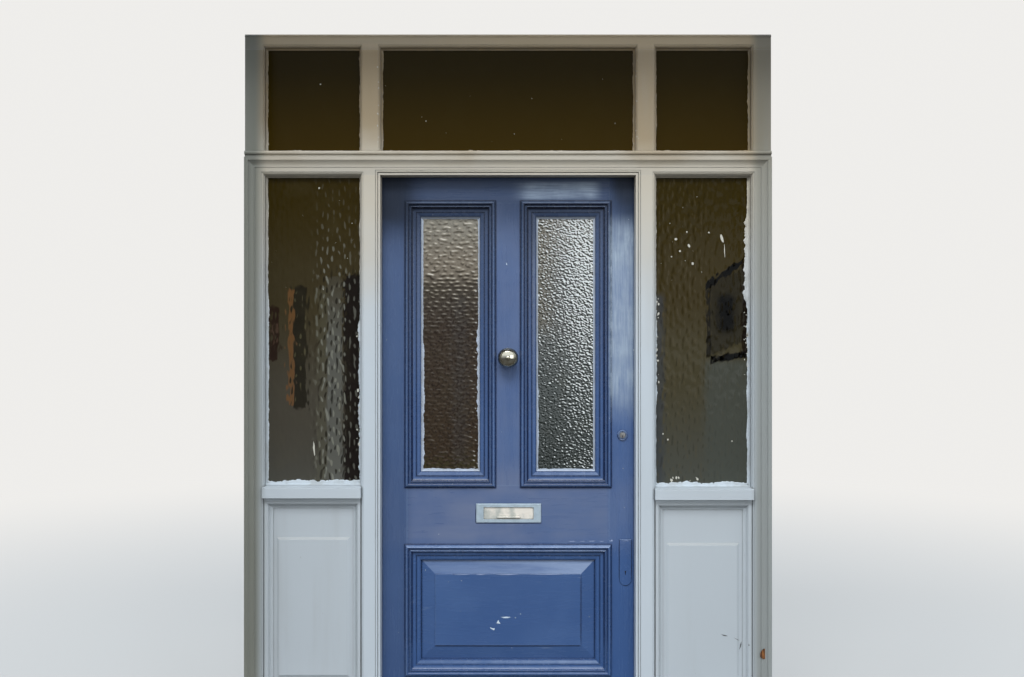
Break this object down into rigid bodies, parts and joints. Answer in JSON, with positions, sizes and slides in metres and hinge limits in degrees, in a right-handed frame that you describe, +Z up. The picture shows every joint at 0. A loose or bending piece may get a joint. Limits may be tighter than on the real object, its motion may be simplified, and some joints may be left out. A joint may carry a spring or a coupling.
{
  "type": "panelled front door with frame",
  "caption": "Inward-opening panelled front door with obscured panes, a fielded lower panel, letter flap, knob and locks, in a moulded frame with side lights and overlights.",
  "frame": {"origin": "middle of the sill's underside, in the plane of the frame's outer face", "axes": "+X to the right seen from outside, +Y into the house, +Z up"},
  "size_m": [1.829, 0.1893, 2.505],
  "materials": {
    "frame_paint": "painted softwood, satin, weathered",
    "leaf_paint": "painted softwood, semi gloss, brush marked and chipped",
    "clear_glass": "plain sheet glass",
    "hammered_glass": "coarse waved obscured glass",
    "stippled_glass": "fine stippled obscured glass",
    "sidelight_glass": "large hammered obscured glass",
    "putty": "hardened putty, painted unevenly",
    "satin_aluminium": "satin",
    "aged_brass": "worn and dull",
    "painted_plate": "painted over with the leaf",
    "latch_enamel": "dark enamel",
    "hinge_iron": "dull",
    "steel": "plain"
  },
  "bodies": {
    "frame": {"sill": "frame_paint", "head": "frame_paint", "transom_rail": "frame_paint", "architrave_left": "frame_paint", "architrave_right": "frame_paint", "architrave_head": "frame_paint", "jamb_left": "frame_paint", "post_left": "frame_paint", "side_bar_left": "frame_paint", "side_bottom_rail_left": "frame_paint", "side_panel_left": "frame_paint", "side_moulding_left": "frame_paint", "sidelight_glass_left": "sidelight_glass", "jamb_right": "frame_paint", "post_right": "frame_paint", "side_bar_right": "frame_paint", "side_bottom_rail_right": "frame_paint", "side_panel_right": "frame_paint", "side_moulding_right": "frame_paint", "sidelight_glass_right": "sidelight_glass", "overlight_glass_left": "clear_glass", "overlight_glass_centre": "clear_glass", "overlight_glass_right": "clear_glass", "frame_putty": "putty", "hinge_frame_leaves": "hinge_iron", "frame_screws": "steel", "strike_plate": "aged_brass", "latch_keep": "latch_enamel"},
    "leaf": {"hinge_stile": "leaf_paint", "lock_stile": "leaf_paint", "muntin": "leaf_paint", "top_rail": "leaf_paint", "lock_rail": "leaf_paint", "bottom_rail": "leaf_paint", "lower_panel": "leaf_paint", "bolection_left": "leaf_paint", "bolection_right": "leaf_paint", "bolection_lower": "leaf_paint", "inside_bead_left": "leaf_paint", "inside_bead_right": "leaf_paint", "pane_left": "hammered_glass", "pane_right": "stippled_glass", "pane_putty": "putty", "centre_knob": "aged_brass", "through_bolts": "steel", "letter_plate": "satin_aluminium", "flap_pin": "steel", "latch_ring": "aged_brass", "latch_cylinder": "aged_brass", "latch_case": "latch_enamel", "mortice_lock": "steel", "escutcheon": "painted_plate", "hinge_door_leaves": "hinge_iron", "hinge_pins": "hinge_iron", "leaf_screws": "steel"},
    "letter_flap": {"letter_flap": "satin_aluminium"},
    "latch_bolt": {"latch_bolt": "aged_brass"},
    "latch_knob": {"latch_knob": "aged_brass"},
    "cylinder_plug": {"cylinder_plug": "aged_brass"},
    "dead_bolt": {"dead_bolt": "aged_brass"}
  },
  "joints": [
    {"name": "leaf_hinge", "type": "hinge", "parent": "frame", "child": "leaf", "pos_m": [-0.4585, 0.104, 1.0385], "axis": [0, 0, 1], "range_deg": [0, 105]},
    {"name": "letter_flap_hinge", "type": "hinge", "parent": "leaf", "child": "letter_flap", "pos_m": [0.002, 0.0573, 0.856], "axis": [1, 0, 0], "range_deg": [0, 70]},
    {"name": "latch_knob_turn", "type": "hinge", "parent": "leaf", "child": "latch_knob", "pos_m": [0.392, 0.126, 1.107], "axis": [0, 1, 0], "range_deg": [0, 60]},
    {"name": "latch_bolt_slide", "type": "slide", "parent": "leaf", "child": "latch_bolt", "axis": [1, 0, 0], "range_m": [0, 0.014]},
    {"name": "cylinder_plug_turn", "type": "hinge", "parent": "leaf", "child": "cylinder_plug", "pos_m": [0.404, 0.053, 1.1035], "axis": [0, 1, 0], "range_deg": [0, 90]},
    {"name": "dead_bolt_slide", "type": "slide", "parent": "leaf", "child": "dead_bolt", "axis": [1, 0, 0], "range_m": [0, 0.018]}
  ],
  "couplings": [
    {"joint": "latch_knob_turn", "follows": "latch_bolt_slide", "rad_per_m": 74.8}
  ]
}
